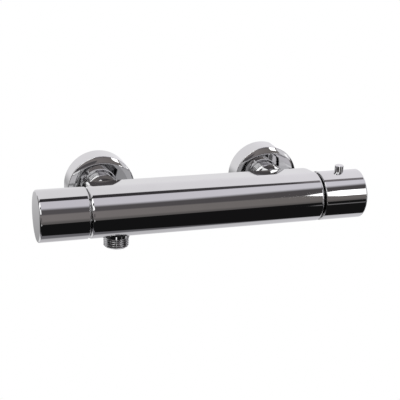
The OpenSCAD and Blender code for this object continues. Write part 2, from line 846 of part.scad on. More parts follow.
module thermostat_sleeve() color("goldenrod") temp_side() difference() {
    rod(sleeve_r, sleeve_start + seat, sleeve_end);
    rod(mixed_r, sleeve_start - over, sleeve_end);
    rod(shuttle_bore_r, sleeve_start + sleeve_floor_t, sleeve_end + over);
    tube(thermo_r, recess_r, sleeve_start + hot_recess_from, sleeve_start + hot_recess_to);
    tube(thermo_r, recess_r, sleeve_start + cold_recess_from, sleeve_start + cold_recess_to);
    for (at = ring_places)
        tube(thermo_r, sleeve_r - 2 * oring_r - seat, at - oring_land / 2, at + oring_land / 2);
    windows(hot_window_from);
    windows(cold_window_from);
    for (s = [-1, 1]) translate([0, s < 0 ? -shuttle_bore_r - key_h - seat : 0, sleeve_end - keyway_len])
        translate([-key_w / 2 - seat, 0, 0])
            cube([key_w + 2 * seat, shuttle_bore_r + key_h + seat, keyway_len + over]);
}

module cartridge_orings() color("dimgray") temp_side()
    for (at = ring_places) o_ring(sleeve_r - oring_r, oring_r, at);

module thermostat_head() color("goldenrod") temp_side() difference() {
    union() {
        rod(sleeve_r, sleeve_end + seat, head_rim_end);
        rod(thermo_head_r, head_rim_end - over, spigot_len);
        turned_rod(thermo_nose_r, spigot_len - over, thermo_nose_end);
    }
    rod(flange_cavity_r, sleeve_end - over, sleeve_end + flange_cavity_len);
    rod(spindle_r + run, sleeve_end, thermo_nose_end + over);
}

module cartridge_ring_nut() color("goldenrod") temp_side() difference() {
    tube(thermo_r - seat, thermo_head_r + seat, head_rim_end + seat, spigot_len);
    for (i = [0:nut_notches - 1]) rotate(360 * i / nut_notches)
        translate([0, -nut_notch / 2, spigot_len - nut_notch_depth])
            cube([thermo_r, nut_notch, nut_notch_depth + over]);
}

module mixing_shuttle() color("burlywood") temp_side() {
    tube(shuttle_r, shuttle_r - shuttle_wall, shuttle_start, shuttle_end);
    difference() {
        rod(shuttle_r - shuttle_wall / 2, web_start, web_end);
        rod(capsule_neck_r + seat, web_start - over, web_end + over);
        for (i = [0:web_holes - 1]) rotate(360 * i / web_holes)
            translate([web_hole_ring, 0, 0]) rod(web_hole_r, web_start - over, web_end + over);
    }
}

module wax_element() color("peru") temp_side() {
    turned_rod(capsule_r, web_start - seat - capsule_len, web_start - seat);
    rod(capsule_neck_r, web_start - edge, web_start + capsule_neck_len);
    rod(capsule_pin_r, web_start, adjust_start - seat);
}

module adjusting_nut() color("goldenrod") temp_side() difference() {
    union() {
        rod(shuttle_r, adjust_start, adjust_end);
        intersection() {
            rod(shuttle_bore_r + key_h, adjust_start, adjust_end);
            translate([-key_w / 2, -thermo_r, adjust_start]) cube([key_w, thermo_chamber_d, adjust_len]);
        }
    }
    rod(thread_r + run, adjust_start + adjust_floor, adjust_end + over);
}

module return_spring() color("lightsteelblue") temp_side()
    coil_spring(coil_r, coil_wire_r, sleeve_start + sleeve_floor_t, web_start, coil_turns);

module adjusting_spindle() color("goldenrod") temp_side() {
    turned_rod(thread_r, thread_start, flange_start + over);
    rod(flange_r, flange_start, flange_end);
    rod(spindle_r, flange_end - over, temp_spline_start);
    translate([0, 0, temp_spline_start]) linear_extrude(temp_spline_end - temp_spline_start) spline_outline();
}

// Finger between the catch's two end places, at 38 degrees and at fully cold
module stop_finger() difference() {
    half = catch_chord + pass;
    places = [half_turn, half_turn + full_turn - cold_turn];
    sector(finger_in, finger_r, places[0], places[1]);
    for (a = places) rotate(a) translate([0, -half]) square([2 * finger_r, 2 * half]);
}

// White ring on the cartridge's nose; its finger is what the button's catch runs up against
module stop_ring() color("white") temp_side() {
    tube(stop_ring_r, thermo_nose_r + seat, stop_ring_start, thermo_nose_end + seat);
    tube(stop_ring_r, stop_hole_r, thermo_nose_end + seat, stop_plate_end);
    translate([0, 0, stop_plate_end - edge]) linear_extrude(finger_end - stop_plate_end + edge)
        stop_finger();
}

button_x = body_half + button_z;

module temperature_handle() color("silver") difference() {
    union() {
        temp_side() handle_shell(temp_gap, temp_handle_len, temp_hub_start);
        grub_pillar(temp_grub_x);
        on_bar() translate([button_x, 0, 0]) rod(guide_r, guide_end, skirt_r + edge);
    }
    temp_side() translate([0, 0, temp_hub_start - over])
        linear_extrude(temp_floor - temp_hub_start + over) spline_outline(seat);
    grub_bore(temp_grub_x);
    on_bar() translate([button_x, 0, 0]) {
        rod(button_r + run, guide_end + guide_floor, bar_r + over);
        rod(stem_r + run, guide_end - over, skirt_r);
    }
}

module override_button() color("silver") on_bar() translate([button_x, 0, 0]) {
    turned_rod(button_r, post_start, post_end);
    rod(stem_r, catch_low, post_start + over);
    rod(catch_r, catch_low, catch_top);
}

module button_spring() color("lightsteelblue") on_bar() translate([button_x, 0, 0])
    coil_spring(button_coil_r, button_wire_r, guide_end + guide_floor, post_start, button_coil_turns);

valve_body();
outlet_nipple();
outlet_gasket();
inlet_nipple(left);  // inlet_nipple_left
inlet_nipple(right);  // inlet_nipple_right
union_nut(left);  // union_nut_left
union_nut(right);  // union_nut_right
filter_washer(left);  // filter_washer_left
filter_washer(right);  // filter_washer_right
check_housing(left);  // check_housing_left
check_housing(right);  // check_housing_right
check_poppet(left);  // check_poppet_left
check_poppet(right);  // check_poppet_right
check_spring(left);  // check_spring_left
check_spring(right);  // check_spring_right
s_union(left);  // s_union_left
s_union(right);  // s_union_right
escutcheon(left);  // escutcheon_left
escutcheon(right);  // escutcheon_right
flow_headwork();
headwork_orings();
flow_seal_ring();
fixed_disc();
turning_disc();
flow_spindle();
spindle_clip();
flow_handle();
grub_screw(flow_grub_x);  // flow_grub_screw
thermostat_sleeve();
thermostat_head();
cartridge_ring_nut();
cartridge_orings();
mixing_shuttle();
wax_element();
adjusting_nut();
return_spring();
adjusting_spindle();
stop_ring();
temperature_handle();
grub_screw(temp_grub_x);  // temperature_grub_screw
override_button();
button_spring();
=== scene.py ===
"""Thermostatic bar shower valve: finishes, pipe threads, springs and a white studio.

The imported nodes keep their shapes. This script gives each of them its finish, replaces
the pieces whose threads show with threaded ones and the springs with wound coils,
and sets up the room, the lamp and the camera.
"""

import json
import logging
import math
from dataclasses import dataclass
from enum import Enum

import bmesh
import bpy
from mathutils import Matrix, Vector


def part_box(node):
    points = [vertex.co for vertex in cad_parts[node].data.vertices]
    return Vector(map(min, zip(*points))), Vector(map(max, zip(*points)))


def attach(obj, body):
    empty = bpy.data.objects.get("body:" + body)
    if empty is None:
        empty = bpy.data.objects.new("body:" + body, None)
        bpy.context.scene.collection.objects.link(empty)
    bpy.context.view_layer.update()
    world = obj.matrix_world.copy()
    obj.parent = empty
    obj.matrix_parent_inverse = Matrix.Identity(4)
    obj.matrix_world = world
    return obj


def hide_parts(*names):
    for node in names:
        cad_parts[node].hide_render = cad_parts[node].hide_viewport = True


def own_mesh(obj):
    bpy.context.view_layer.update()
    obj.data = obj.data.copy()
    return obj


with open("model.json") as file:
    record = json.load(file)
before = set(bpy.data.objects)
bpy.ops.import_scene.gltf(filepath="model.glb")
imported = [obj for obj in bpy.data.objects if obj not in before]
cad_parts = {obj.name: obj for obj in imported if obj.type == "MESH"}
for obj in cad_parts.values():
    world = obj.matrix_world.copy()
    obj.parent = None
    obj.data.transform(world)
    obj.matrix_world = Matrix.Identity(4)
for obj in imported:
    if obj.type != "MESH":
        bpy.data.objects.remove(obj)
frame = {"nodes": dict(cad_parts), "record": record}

log = logging.getLogger("shower_valve")

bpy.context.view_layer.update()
MM = 0.001
BAR_Y = -73.0
SUPPLY_X = 75.0
PIPE_THREAD_R = 10.4775
PIPE_BORE_R = 7.5

Colour = tuple[float, float, float]
Point = tuple[float, float, float]
Socket = bpy.types.NodeSocket
# Radius, place along the axis and share of the thread's full depth.
Station = tuple[float, float, float]

EVEN: Point = (1.0, 1.0, 1.0)
# Distance in metres between the bands of a wave texture of scale 1.
BAND_GAP = 0.1 * math.pi


class Side(Enum):
    """The two supplies, by their direction along the bar."""

    LEFT = -1
    RIGHT = 1

    @property
    def label(self) -> str:
        """Returns the side's word in the nodes' names."""
        return self.name.lower()


class Graph:
    """A node tree that is filled by naming each node's kind and settings."""

    def __init__(self, tree: bpy.types.NodeTree) -> None:
        """Empties the tree.

        Args:
            tree: Node tree of a material or of the world.
        """
        self.tree = tree
        tree.nodes.clear()

    def add(self, kind: str, settings: dict | None = None, **inputs: object) -> bpy.types.Node:
        """Adds a node.

        Args:
            kind: Node type without its ShaderNode prefix.
            settings: Attributes to set on the node.
            **inputs: Values, or output sockets to link, by input name with underscores
                for spaces, or by number as i0, i1 and so on.

        Returns:
            The new node.
        """
        node = self.tree.nodes.new("ShaderNode" + kind)
        for key, value in (settings or {}).items():
            setattr(node, key, value)
        for key, value in inputs.items():
            number = key[1:] if key[0] == "i" and key[1:].isdigit() else ""
            socket = node.inputs[int(number)] if number else node.inputs[key.replace("_", " ")]
            if isinstance(value, bpy.types.NodeSocket):
                self.tree.links.new(value, socket)
            else:
                socket.default_value = value
        return node

    def ramp(self, factor: Socket, stops: list[tuple[float, Colour]]) -> Socket:
        """Adds a colour ramp.

        Args:
            factor: Socket that drives the ramp.
            stops: Place and colour of each stop, in rising order.

        Returns:
            The ramp's colour socket.
        """
        node = self.add("ValToRGB", Fac=factor)
        elements = node.color_ramp.elements
        while len(elements) < len(stops):
            elements.new(1.0)
        for element, (place, colour) in zip(elements, stops):
            element.position = place
            element.color = (*colour, 1.0)
        return node.outputs["Color"]

    def stretched(self, stretch: Point) -> Socket:
        """Adds object coordinates stretched along each axis.

        Args:
            stretch: Scale of the pattern along X, Y and Z.

        Returns:
            The vector socket.
        """
        place = self.add("TexCoord")
        return self.add("Mapping", Vector=place.outputs["Object"], Scale=stretch).outputs["Vector"]

    def compute(self, operation: str, *values: object) -> Socket:
        """Adds a step of arithmetic.

        Args:
            operation: The math node's operation.
            *values: Its values or sockets, in order.

        Returns:
            The result's socket.
        """
        inputs = {f"i{place}": value for place, value in enumerate(values)}
        return self.add("Math", {"operation": operation}, **inputs).outputs[0]

    def sum_of(self, start: object, *terms: tuple[object, object]) -> Socket:
        """Adds products to a start value.

        Args:
            start: First value or socket.
            *terms: Pairs of factors, each a value or a socket.

        Returns:
            The sum's socket.
        """
        total = start
        for one, other in terms:
            total = self.compute("MULTIPLY_ADD", one, other, total)
        return total

    def step(self, value: object, edge: object, blur: float) -> Socket:
        """Adds a soft step that rises from 0 to 1 across an edge.

        Args:
            value: Socket that crosses the edge.
            edge: The edge, a value or a socket.
            blur: Width of the step.

        Returns:
            The step's socket.
        """
        return self.add(
            "MapRange",
            {"interpolation_type": "SMOOTHSTEP"},
            Value=self.compute("SUBTRACT", value, edge),
            From_Min=-0.5 * blur,
            From_Max=0.5 * blur,
        ).outputs["Result"]

    def mix(self, share: object, below: object, above: object) -> Socket:
        """Adds a colour mix.

        Args:
            share: Share of the second colour.
            below: First colour, a value or a socket.
            above: Second colour.

        Returns:
            The mixed colour's socket.
        """
        one, other = ((*c, 1.0) if isinstance(c, tuple) else c for c in (below, above))
        return self.add("MixRGB", Fac=share, Color1=one, Color2=other).outputs["Color"]

    def paint_over(self, shader: bpy.types.Node, share: Socket, tint: Colour) -> None:
        """Mixes a tint over a shader's base colour.

        Args:
            shader: The shader, whose base colour is linked.
            share: Share of the tint.
            tint: The tint.
        """
        base = shader.inputs["Base Color"]
        self.tree.links.new(self.mix(share, base.links[0].from_socket, tint), base)

    def plain_for_camera(self, lit: Socket, plain: Socket) -> Socket:
        """Shows one shader to the camera and another to every other ray.

        Args:
            lit: The shader for reflections and light.
            plain: The shader that the camera sees.

        Returns:
            The mixed shader's socket.
        """
        seen = self.add("LightPath").outputs["Is Camera Ray"]
        return self.add("MixShader", Fac=seen, i1=lit, i2=plain).outputs["Shader"]


@dataclass(frozen=True)
class Finish:
    """Look shared by every finish: two tints that drift, and a roughness that drifts."""

    name: str
    tint: Colour
    deep_tint: Colour
    roughness: tuple[float, float]
    metallic: float = 0.0
    patch_per_m: float = 90.0
    patch_detail: float = 4.0
    patch_roughness: float = 0.6
    patch_edges: tuple[float, float] = (0.32, 0.68)

    def make(self) -> bpy.types.Material:
        """Builds the material.

        Returns:
            The new material, with its node tree filled.
        """
        material = bpy.data.materials.new(self.name)
        material.use_nodes = True
        graph = Graph(material.node_tree)
        patches = graph.add(
            "TexNoise",
            Vector=graph.stretched(EVEN),
            Scale=self.patch_per_m,
            Detail=self.patch_detail,
            Roughness=self.patch_roughness,
        ).outputs["Fac"]
        low, high = self.patch_edges
        smooth, dull = self.roughness
        rough = graph.add("MapRange", Value=patches, To_Min=smooth, To_Max=dull)
        shader = graph.add(
            "BsdfPrincipled",
            Base_Color=graph.ramp(patches, [(low, self.deep_tint), (high, self.tint)]),
            Metallic=self.metallic,
            Roughness=rough.outputs["Result"],
        )
        self.texture(graph, shader)
        out = graph.add("OutputMaterial")
        graph.tree.links.new(shader.outputs["BSDF"], out.inputs["Surface"])
        return material

    def texture(self, graph: Graph, shader: bpy.types.Node) -> None:
        """Adds the surface relief; a plain finish has none.

        Args:
            graph: The material's graph.
            shader: Its principled shader.
        """


@dataclass(frozen=True)
class PolishedFinish(Finish):
    """Mirror polish with wiping marks along the bar and a trace of the cast under it.

    Shade is painted inside the narrow joints beside the handles and on the body's back, which
    faces the wall. The joints' spans and half the back's width run along X and the back's span
    along Y, in mm.
    """

    wave_mm: float = 0.002
    wave_per_m: float = 45.0
    wave_detail: float = 1.0
    wave_strength: float = 0.6
    wipe_mm: float = 0.0004
    wipe_per_m: Point = (60.0, 2200.0, 2200.0)
    wipe_detail: float = 2.0
    wipe_strength: float = 0.5
    joints: tuple[tuple[float, float], ...] = ((-99.88, -99.42), (99.5, 100.27))
    joint_reach: float = 21.2
    joint_fade: float = 0.15
    # Painted shade: the colour that the inside of each joint is darkened to.
    joint_tint: Colour = (0.012, 0.012, 0.013)
    back_span: tuple[float, float] = (-52.0, -40.0)
    back_fade: float = 3.0
    back_half: float = 98.5
    # Painted shade: the colour that the body's back, facing the wall, is darkened to.
    back_tint: Colour = (0.1, 0.1, 0.103)

    def texture(self, graph: Graph, shader: bpy.types.Node) -> None:
        """Adds long soft waves, fine wiping marks and the painted shade in the joints and on the
        back.

        Args:
            graph: The material's graph.
            shader: Its principled shader.
        """
        waves = graph.add(
            "TexNoise",
            Vector=graph.stretched(EVEN),
            Scale=self.wave_per_m,
            Detail=self.wave_detail,
        )
        under = graph.add(
            "Bump",
            Height=waves.outputs["Fac"],
            Distance=self.wave_mm * MM,
            Strength=self.wave_strength,
        )
        wipes = graph.add(
            "TexNoise",
            Vector=graph.stretched(self.wipe_per_m),
            Scale=1.0,
            Detail=self.wipe_detail,
        )
        over = graph.add(
            "Bump",
            Height=wipes.outputs["Fac"],
            Distance=self.wipe_mm * MM,
            Strength=self.wipe_strength,
            Normal=under.outputs["Normal"],
        )
        graph.tree.links.new(over.outputs["Normal"], shader.inputs["Normal"])
        self.darken_joints(graph, shader)
        self.dull_back(graph, shader)

    def dull_back(self, graph: Graph, shader: bpy.types.Node) -> None:
        """Paints shade on the body's back, which faces the wall, by darkening its base colour.

        Args:
            graph: The material's graph.
            shader: Its principled shader.
        """
        axes = graph.add("SeparateXYZ", Vector=graph.add("TexCoord").outputs["Object"])
        width = graph.compute("ABSOLUTE", axes.outputs["X"])
        within = graph.compute("LESS_THAN", width, self.back_half * MM)
        start, end = (at * MM for at in self.back_span)
        full = start + self.back_fade * MM
        rising = graph.add("MapRange", Value=axes.outputs["Y"], From_Min=start, From_Max=full)
        before_end = graph.compute("LESS_THAN", axes.outputs["Y"], end)
        share = graph.compute("MULTIPLY", within, rising.outputs["Result"])
        share = graph.compute("MULTIPLY", share, before_end)
        # Paints shade over the base colour of the back.
        graph.paint_over(shader, share, self.back_tint)

    def darken_joints(self, graph: Graph, shader: bpy.types.Node) -> None:
        """Paints shade on the chrome inside the narrow joints between the bar's body and its
        handles.

        Args:
            graph: The material's graph.
            shader: Its principled shader.
        """
        place = graph.add("TexCoord").outputs["Object"]
        along = graph.add("SeparateXYZ", Vector=place).outputs["X"]
        off = graph.add(
            "VectorMath",
            {"operation": "MULTIPLY_ADD"},
            i0=place,
            i1=(0.0, 1.0, 1.0),
            i2=(0.0, -BAR_Y * MM, 0.0),
        )
        reach = graph.add("VectorMath", {"operation": "LENGTH"}, i0=off.outputs["Vector"])
        near = graph.compute("LESS_THAN", reach.outputs["Value"], self.joint_reach * MM)
        for low, high in self.joints:
            half = 0.5 * (high - low)
            off_middle = graph.compute("SUBTRACT", along, 0.5 * (low + high) * MM)
            inside = graph.add(
                "MapRange",
                Value=graph.compute("ABSOLUTE", off_middle),
                From_Min=half * MM,
                From_Max=(half + self.joint_fade) * MM,
                To_Min=1.0,
                To_Max=0.0,
            )
            share = graph.compute("MULTIPLY", inside.outputs["Result"], near)
            # Paints shade over the base colour inside the joint.
            graph.paint_over(shader, share, self.joint_tint)


@dataclass(frozen=True)
class TurnedFinish(Finish):
    """Metal straight off the lathe, with fine rings round the bar's axis."""

    ring_mm: float = 0.24 * math.pi
    ring_waver: float = 1.5
    ring_detail: float = 2.0
    depth_mm: float = 0.01
    depth_strength: float = 0.4

    def texture(self, graph: Graph, shader: bpy.types.Node) -> None:
        """Adds the tool's rings, broken up by noise.

        Args:
            graph: The material's graph.
            shader: Its principled shader.
        """
        rings = graph.add(
            "TexWave",
            {"wave_type": "BANDS", "bands_direction": "X"},
            Vector=graph.stretched(EVEN),
            Scale=BAND_GAP / (self.ring_mm * MM),
            Distortion=self.ring_waver,
            Detail=self.ring_detail,
        )
        bump = graph.add(
            "Bump",
            Height=rings.outputs["Fac"],
            Distance=self.depth_mm * MM,
            Strength=self.depth_strength,
        )
        graph.tree.links.new(bump.outputs["Normal"], shader.inputs["Normal"])


@dataclass(frozen=True)
class GrainedFinish(Finish):
    """Moulded or pressed surface with a fine even grain."""

    grain_mm: float = 0.25
    grain_detail: float = 3.0
    depth_mm: float = 0.012
    depth_strength: float = 0.5

    def texture(self, graph: Graph, shader: bpy.types.Node) -> None:
        """Adds the mould's grain.

        Args:
            graph: The material's graph.
            shader: Its principled shader.
        """
        grain = graph.add(
            "TexNoise",
            Vector=graph.stretched(EVEN),
            Scale=1.0 / (self.grain_mm * MM),
            Detail=self.grain_detail,
        )
        bump = graph.add(
            "Bump",
            Height=grain.outputs["Fac"],
            Distance=self.depth_mm * MM,
            Strength=self.depth_strength,
        )
        graph.tree.links.new(bump.outputs["Normal"], shader.inputs["Normal"])


class Slot(Enum):
    """The record's material slots."""

    CHROME = "chrome"
    BRASS = "brass"
    RUBBER = "rubber"
    CERAMIC = "ceramic"
    WHITE_PLASTIC = "white_plastic"
    GREY_PLASTIC = "grey_plastic"
    TAN_PLASTIC = "tan_plastic"
    COPPER = "copper"
    STEEL = "steel"


FINISHES: dict[Slot, Finish] = {
    Slot.CHROME: PolishedFinish(
        "polished_chrome",
        (0.665, 0.665, 0.67),
        (0.65, 0.65, 0.655),
        (0.02, 0.05),
        metallic=1.0,
        patch_per_m=60.0,
    ),
    Slot.BRASS: TurnedFinish(
        "turned_brass", (0.72, 0.52, 0.22), (0.6, 0.42, 0.17), (0.2, 0.4), metallic=1.0
    ),
    Slot.RUBBER: GrainedFinish(
        "black_rubber", (0.022, 0.022, 0.024), (0.012, 0.012, 0.013), (0.5, 0.75)
    ),
    Slot.CERAMIC: GrainedFinish(
        "lapped_ceramic", (0.82, 0.79, 0.72), (0.74, 0.71, 0.64), (0.08, 0.2)
    ),
    Slot.WHITE_PLASTIC: GrainedFinish(
        "white_acetal", (0.78, 0.78, 0.76), (0.7, 0.7, 0.68), (0.3, 0.45)
    ),
    Slot.GREY_PLASTIC: GrainedFinish(
        "grey_acetal", (0.035, 0.037, 0.042), (0.022, 0.023, 0.027), (0.3, 0.45)
    ),
    Slot.TAN_PLASTIC: GrainedFinish(
        "tan_polysulfone", (0.42, 0.31, 0.16), (0.34, 0.25, 0.12), (0.25, 0.4)
    ),
    Slot.COPPER: TurnedFinish(
        "drawn_copper", (0.68, 0.33, 0.2), (0.5, 0.22, 0.13), (0.2, 0.4), metallic=1.0
    ),
    Slot.STEEL: TurnedFinish(
        "drawn_steel", (0.58, 0.58, 0.6), (0.46, 0.46, 0.48), (0.2, 0.35), metallic=1.0
    ),
}


class Paintbox:
    """Makes each finish once and hands it out."""

    def __init__(self) -> None:
        """Starts with every finish unmade."""
        self.made: dict[Slot, bpy.types.Material] = {}

    def get(self, slot: Slot) -> bpy.types.Material:
        """Gives the material of a slot.

        Args:
            slot: Which of the record's slots.

        Returns:
            The slot's material.
        """
        if slot not in self.made:
            self.made[slot] = FINISHES[slot].make()
        return self.made[slot]

    def dress_node(self, name: str) -> None:
        """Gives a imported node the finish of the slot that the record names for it.

        Args:
            name: The node's name.
        """
        slot = next(s["material_slot"] for s in frame["record"]["subparts"] if s["node"] == name)
        node = frame["nodes"][name]
        if not node.material_slots:
            node.data.materials.append(None)
        for place in node.material_slots:
            place.material = self.get(Slot(slot))
        log.info("%s dressed in %s", name, slot)


@dataclass(frozen=True)
class Lathe:
    """Turned solid whose outline may carry a helical pipe thread. Sizes are in mm.

    The thread's flank is in part straight, by straight_share, and otherwise rounded.
    """

    pitch: float = 1.814
    thread_depth: float = 1.16
    straight_share: float = 0.35
    lead: float = 1.2
    stations_per_turn: int = 12
    steps: int = 128

    def radius(self, r: float, along: float, turn: float, cut: float) -> float:
        """Gives the thread's radius at a point.

        Args:
            r: Radius of the thread's crests, in mm.
            along: Distance along the axis, in mm.
            turn: Turn round the axis, from 0 to 1.
            cut: Share of the full depth that is cut here.

        Returns:
            The radius in mm.
        """
        phase = (along / self.pitch - turn) % 1.0
        flank = abs(2.0 * phase - 1.0)
        rounded = flank * flank * (3.0 - 2.0 * flank)
        straight = self.straight_share
        return r - self.thread_depth * cut * (straight * flank + (1.0 - straight) * rounded)

    def thread(self, r: float, start: float, end: float) -> list[Station]:
        """Lays out the stations of a thread, which deepens over its lead at the start.

        Args:
            r: Radius of the crests, in mm.
            start: Where the thread starts along the axis, in mm.
            end: Where it ends, in mm.

        Returns:
            Radius, place and share of depth of each station.
        """
        count = max(2, round((end - start) / self.pitch * self.stations_per_turn))
        places = [start + (end - start) * i / count for i in range(count + 1)]
        return [(r, at, min(1.0, (at - start) / self.lead)) for at in places]

    def mesh(self, name: str, outline: list[Station], place: Matrix) -> bpy.types.Object:
        """Turns a closed outline into an object.

        Args:
            name: The new object's name.
            outline: Radius and place in mm and share of thread depth of each station.
            place: Where the lathe's axis stands, in metres.

        Returns:
            The new object, linked to the scene.
        """
        bm = bmesh.new()
        rings = []
        for r, at, cut in outline:
            ring = []
            for k in range(self.steps):
                turn = k / self.steps
                radius = self.radius(r, at, turn, cut) if cut > 0 else r
                angle = 2.0 * math.pi * turn
                ring.append(bm.verts.new((radius * math.cos(angle), radius * math.sin(angle), at)))
            rings.append(ring)
        for ring, after in zip(rings, rings[1:] + rings[:1]):
            for k in range(self.steps):
                n = (k + 1) % self.steps
                bm.faces.new((ring[k], ring[n], after[n], after[k]))
        bm.transform(place @ Matrix.Diagonal((MM, MM, MM, 1.0)))
        bmesh.ops.recalc_face_normals(bm, faces=bm.faces)
        return as_object(name, bm)


def as_object(name: str, bm: bmesh.types.BMesh, crease_deg: float = 38.0) -> bpy.types.Object:
    """Makes an object from a finished bmesh and shades it smooth up to a crease angle.

    Args:
        name: The object's name.
        bm: The mesh, which is freed.
        crease_deg: Angle above which an edge stays sharp.

    Returns:
        The new object.
    """
    for face in bm.faces:
        face.smooth = True
    crease = math.radians(crease_deg)
    for edge in bm.edges:
        edge.smooth = len(edge.link_faces) == 2 and edge.calc_face_angle() < crease
    mesh = bpy.data.meshes.new(name)
    bm.to_mesh(mesh)
    bm.free()
    made = bpy.data.objects.new(name, mesh)
    bpy.context.scene.collection.objects.link(made)
    return made


def join_meshes(name: str, parts: list[bpy.types.Object]) -> bpy.types.Object:
    """Joins objects that stand in the row frame into one.

    Args:
        name: Name of the joined object.
        parts: The objects, which are used up.

    Returns:
        The joined object.
    """
    bm = bmesh.new()
    for part in parts:
        bm.from_mesh(part.data)
        bpy.data.objects.remove(part)
    return as_object(name, bm)


class SubAssembly:
    """A group of the valve's pieces that are dressed together."""

    nodes: tuple[str, ...]

    def names(self) -> tuple[str, ...]:
        """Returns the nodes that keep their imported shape."""
        return self.nodes

    def dress(self, paints: Paintbox) -> None:
        """Gives every node its finish.

        Args:
            paints: The finishes.
        """
        for name in self.names():
            paints.dress_node(name)


@dataclass
class Bar(SubAssembly):
    """The valve body with everything that stays fixed inside it."""

    nodes: tuple[str, ...] = (
        "valve_body",
        "outlet_gasket",
        "flow_headwork",
        "headwork_orings",
        "flow_seal_ring",
        "fixed_disc",
        "thermostat_sleeve",
        "thermostat_head",
        "cartridge_ring_nut",
        "cartridge_orings",
        "stop_ring",
    )


@dataclass
class HoseOutlet:
    """The nipple that a shower hose screws on to, below the left supply.

    Sizes are in mm, and places count downwards from the bar's axis.
    """

    axis_x: float = -SUPPLY_X
    axis_y: float = BAR_Y
    thread_r: float = PIPE_THREAD_R
    collar_r: float = 10.9775
    shank_r: float = 9.1
    bore_r: float = PIPE_BORE_R
    shank_start: float = 14.2
    collar_start: float = 18.8
    thread_start: float = 21.0
    end: float = 29.8
    chamfer: float = 0.9
    mouth: float = 0.4

    def build(self, paints: Paintbox) -> None:
        """Turns the nipple with its thread and puts it in its node's place.

        Args:
            paints: The finishes.
        """
        lathe = Lathe()
        thread = lathe.thread(self.thread_r, self.thread_start, self.end - self.chamfer)
        outline = [
            (self.bore_r, self.shank_start, 0.0),
            (self.shank_r, self.shank_start, 0.0),
            (self.shank_r, self.collar_start, 0.0),
            (self.collar_r, self.collar_start, 0.0),
            (self.collar_r, self.thread_start, 0.0),
            *thread,
            (self.thread_r - self.chamfer, self.end, 0.0),
            (self.bore_r + self.mouth, self.end, 0.0),
            (self.bore_r, self.end - self.mouth, 0.0),
        ]
        downwards = Matrix.Rotation(math.pi, 4, "X")
        place = Matrix.Translation((self.axis_x * MM, self.axis_y * MM, 0.0)) @ downwards
        nipple = lathe.mesh("outlet_nipple_threaded", outline, place)
        nipple.data.materials.append(paints.get(Slot.CHROME))
        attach(nipple, "valve")
        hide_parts("outlet_nipple")
        log.info("outlet nipple turned with %d faces", len(nipple.data.polygons))


@dataclass
class Supply(SubAssembly):
    """One supply's pieces from the wall to the body.

    Sizes are in mm, and places count from the bar's axis towards the wall.
    """

    side: Side
    centre: float = SUPPLY_X
    axis_to_wall: float = -BAR_Y
    rise: float = 7.5
    nut_thread_r: float = 13.22
    wall_thread_r: float = PIPE_THREAD_R
    bore_r: float = PIPE_BORE_R
    lobe_r: float = 12.0
    valve_end: float = 38.9
    nut_thread_end: float = 53.4
    lobe_start: float = 58.2
    lobe_end: float = 65.2
    wall_thread_start: float = 70.5
    wall_end: float = 85.0
    nut_thread_chamfer: float = 1.0
    neck_depth: float = 0.9
    wall_thread_runout: float = 0.8
    lobe_overlap: float = 0.1
    lobe_steps: int = 32
    nodes: tuple[str, ...] = (
        "inlet_nipple",
        "union_nut",
        "filter_washer",
        "check_housing",
        "check_poppet",
        "escutcheon",
    )

    def names(self) -> tuple[str, ...]:
        """Returns this side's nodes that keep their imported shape."""
        return tuple(f"{name}_{self.side.label}" for name in self.nodes)

    def place(self, rise: float = 0.0) -> Matrix:
        """Gives the frame of a turned piece of the union.

        Args:
            rise: Height of the piece's axis above the bar's, in mm.

        Returns:
            The frame, whose Z runs towards the wall from the bar's axis.
        """
        at = (self.side.value * self.centre * MM, -self.axis_to_wall * MM, rise * MM)
        return Matrix.Translation(at) @ Matrix.Rotation(-math.pi / 2, 4, "X")

    def lobe(self) -> bpy.types.Object:
        """Builds the oblong lobe that joins the union's two offset ends.

        Returns:
            The lobe, as a closed block.
        """
        outline = []
        for start, rise in ((0.0, self.rise), (math.pi, 0.0)):
            for i in range(self.lobe_steps + 1):
                a = start + math.pi * i / self.lobe_steps
                outline.append((self.lobe_r * math.cos(a), rise + self.lobe_r * math.sin(a)))
        bm = bmesh.new()
        x0 = self.side.value * self.centre
        near, far = self.lobe_start - self.axis_to_wall, self.lobe_end - self.axis_to_wall
        front = [bm.verts.new((x0 + x, near, z)) for x, z in outline]
        back = [bm.verts.new((x0 + x, far, z)) for x, z in outline]
        bm.faces.new(front)
        bm.faces.new(back)
        for i in range(len(outline)):
            n = (i + 1) % len(outline)
            bm.faces.new((front[i], front[n], back[n], back[i]))
        bm.transform(Matrix.Diagonal((MM, MM, MM, 1.0)))
        bmesh.ops.recalc_face_normals(bm, faces=bm.faces)
        return as_object(f"union_lobe_{self.side.label}", bm)

    def build(self, paints: Paintbox) -> None:
        """Builds the eccentric union with its two pipe threads.

        Args:
            paints: The finishes.
        """
        lathe = Lathe()
        chamfer = self.nut_thread_chamfer
        valve = lathe.mesh(
            f"union_valve_end_{self.side.label}",
            [
                (self.bore_r, self.valve_end, 0.0),
                (self.nut_thread_r - chamfer, self.valve_end, 0.0),
                *lathe.thread(self.nut_thread_r, self.valve_end + chamfer, self.nut_thread_end),
                (self.nut_thread_r, self.lobe_start, 0.0),
                (self.bore_r, self.lobe_start, 0.0),
            ],
            self.place(),
        )
        neck_r = self.wall_thread_r - self.neck_depth
        neck_start = self.lobe_end - self.lobe_overlap
        thread_end = self.wall_end - self.wall_thread_runout
        wall = lathe.mesh(
            f"union_wall_end_{self.side.label}",
            [
                (self.bore_r, neck_start, 0.0),
                (neck_r, neck_start, 0.0),
                (neck_r, self.wall_thread_start, 0.0),
                *lathe.thread(self.wall_thread_r, self.wall_thread_start, thread_end),
                (neck_r, self.wall_end, 0.0),
                (self.bore_r, self.wall_end, 0.0),
            ],
            self.place(self.rise),
        )
        union = join_meshes(f"s_union_threaded_{self.side.label}", [valve, self.lobe(), wall])
        union.data.materials.append(paints.get(Slot.CHROME))
        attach(union, "valve")
        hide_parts(f"s_union_{self.side.label}")
        log.info("%s union built with %d faces", self.side.label, len(union.data.polygons))


